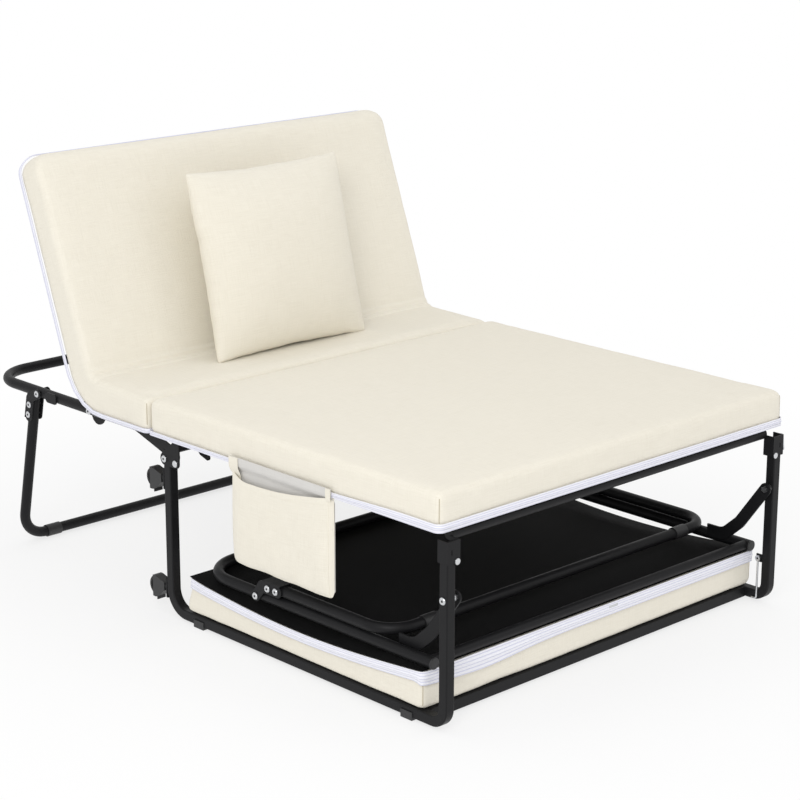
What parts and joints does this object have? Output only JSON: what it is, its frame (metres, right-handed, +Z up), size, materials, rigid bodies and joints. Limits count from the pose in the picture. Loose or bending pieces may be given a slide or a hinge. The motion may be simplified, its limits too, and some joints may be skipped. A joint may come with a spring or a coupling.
{
  "type": "futon",
  "caption": "Folding sleeper bed set up as a lounger: steel tube base, flat seat, raised backrest, stowed foot section, side pocket and pillow.",
  "frame": {"origin": "on the floor under the middle of the whole part", "axes": "+Z up, +Y from the foot end to the head end, +X across, away from the side pocket"},
  "size_m": [0.9668, 1.442, 0.8733],
  "materials": {
    "black_frame": "satin",
    "deck_fabric": "woven",
    "linen": "woven",
    "zip_tape": "woven",
    "zinc": "satin",
    "black_plastic": "matte",
    "wheel_rubber": "matte"
  },
  "bodies": {
    "base": {"side_frame_left": "black_frame", "side_frame_right": "black_frame", "base_cross_rails": "black_frame", "floor_pads": "black_plastic", "base_bolts": "zinc", "caster_plates": "black_frame"},
    "seat": {"seat_front_tube": "black_frame", "seat_rear_tube": "black_frame", "seat_side_tubes": "black_frame", "front_leg_caps": "black_frame", "rear_hinge_plates": "black_frame", "seat_bolts": "zinc", "seat_deck": "deck_fabric", "seat_mattress": "linen", "seat_zip_band": "zip_tape", "side_pocket": "linen"},
    "latch": {"seat_latch_lever": "zinc"},
    "head": {"head_frame_tube": "black_frame", "head_tube_caps": "black_plastic", "head_hinge_plates": "black_frame", "head_lock_plates": "black_frame", "head_bolts": "zinc", "head_deck": "deck_fabric", "head_mattress": "linen", "head_zip_band": "zip_tape", "pillow": "linen"},
    "back": {"back_frame_tube": "black_frame", "back_deck": "deck_fabric", "back_mattress": "linen", "back_zip_band": "zip_tape"},
    "head_leg": {"head_leg_tube": "black_frame", "head_leg_brackets": "black_frame", "head_leg_bolts": "zinc", "head_leg_sleeves": "black_plastic"},
    "foot": {"foot_frame_tube": "black_frame", "foot_tube_caps": "black_plastic", "foot_arms": "black_frame", "foot_bolts": "zinc", "foot_deck": "deck_fabric", "foot_mattress": "linen", "foot_zip_band": "zip_tape", "zip_slider": "zinc"},
    "foot_leg": {"foot_leg_tube": "black_frame", "foot_leg_brackets": "black_frame", "foot_leg_bolts": "zinc", "foot_leg_sleeves": "black_plastic"},
    "hook": {"stow_hook": "zinc"},
    "fork_upper_left": {"caster_fork_upper_left": "black_plastic"},
    "wheel_upper_left": {"caster_wheel_upper_left": "wheel_rubber"},
    "fork_lower_left": {"caster_fork_lower_left": "black_plastic"},
    "wheel_lower_left": {"caster_wheel_lower_left": "wheel_rubber"},
    "fork_upper_right": {"caster_fork_upper_right": "black_plastic"},
    "wheel_upper_right": {"caster_wheel_upper_right": "wheel_rubber"},
    "fork_lower_right": {"caster_fork_lower_right": "black_plastic"},
    "wheel_lower_right": {"caster_wheel_lower_right": "wheel_rubber"}
  },
  "joints": [
    {"name": "seat_lift", "type": "hinge", "parent": "base", "child": "seat", "pos_m": [0, 0.05875, 0.327], "axis": [-1, 0, 0], "range_deg": [0, 25]},
    {"name": "head_fold", "type": "hinge", "parent": "seat", "child": "head", "pos_m": [0, 0.05875, 0.327], "axis": [-1, 0, 0], "range_deg": [0, 25]},
    {"name": "back_recline", "type": "hinge", "parent": "head", "child": "back", "pos_m": [0, 0.34331, 0.357], "axis": [1, 0, 0], "range_deg": [-70, 0]},
    {"name": "head_leg_fold", "type": "hinge", "parent": "head", "child": "head_leg", "pos_m": [0, 0.52175, 0.357], "axis": [-1, 0, 0], "range_deg": [0, 102]},
    {"name": "foot_fold", "type": "hinge", "parent": "base", "child": "foot", "pos_m": [0, -0.70625, 0.246], "axis": [1, 0, 0], "range_deg": [0, 15]},
    {"name": "foot_leg_fold", "type": "hinge", "parent": "foot", "child": "foot_leg", "pos_m": [0, -0.20125, 0.1143], "axis": [-1, 0, 0], "range_deg": [0, 25]},
    {"name": "stow_hook_swing", "type": "hinge", "parent": "base", "child": "hook", "pos_m": [0.4407, -0.68925, 0.095], "axis": [-1, 0, 0], "range_deg": [0, 50]},
    {"name": "latch_turn", "type": "hinge", "parent": "seat", "child": "latch", "pos_m": [0.4673, -0.71125, 0.35], "axis": [1, 0, 0], "range_deg": [-60, 0]},
    {"name": "swivel_upper_left", "type": "hinge", "parent": "base", "child": "fork_upper_left", "pos_m": [-0.453, 0.07375, 0.283], "axis": [0, 1, 0], "continuous": true},
    {"name": "roll_upper_left", "type": "hinge", "parent": "fork_upper_left", "child": "wheel_upper_left", "pos_m": [-0.453, 0.10775, 0.276], "axis": [1, 0, 0], "continuous": true},
    {"name": "swivel_lower_left", "type": "hinge", "parent": "base", "child": "fork_lower_left", "pos_m": [-0.453, 0.07375, 0.058], "axis": [0, 1, 0], "continuous": true},
    {"name": "roll_lower_left", "type": "hinge", "parent": "fork_lower_left", "child": "wheel_lower_left", "pos_m": [-0.453, 0.10775, 0.051], "axis": [1, 0, 0], "continuous": true},
    {"name": "swivel_upper_right", "type": "hinge", "parent": "base", "child": "fork_upper_right", "pos_m": [0.453, 0.07375, 0.283], "axis": [0, 1, 0], "continuous": true},
    {"name": "roll_upper_right", "type": "hinge", "parent": "fork_upper_right", "child": "wheel_upper_right", "pos_m": [0.453, 0.10775, 0.276], "axis": [1, 0, 0], "continuous": true},
    {"name": "swivel_lower_right", "type": "hinge", "parent": "base", "child": "fork_lower_right", "pos_m": [0.453, 0.07375, 0.058], "axis": [0, 1, 0], "continuous": true},
    {"name": "roll_lower_right", "type": "hinge", "parent": "fork_lower_right", "child": "wheel_lower_right", "pos_m": [0.453, 0.10775, 0.051], "axis": [1, 0, 0], "continuous": true}
  ]
}
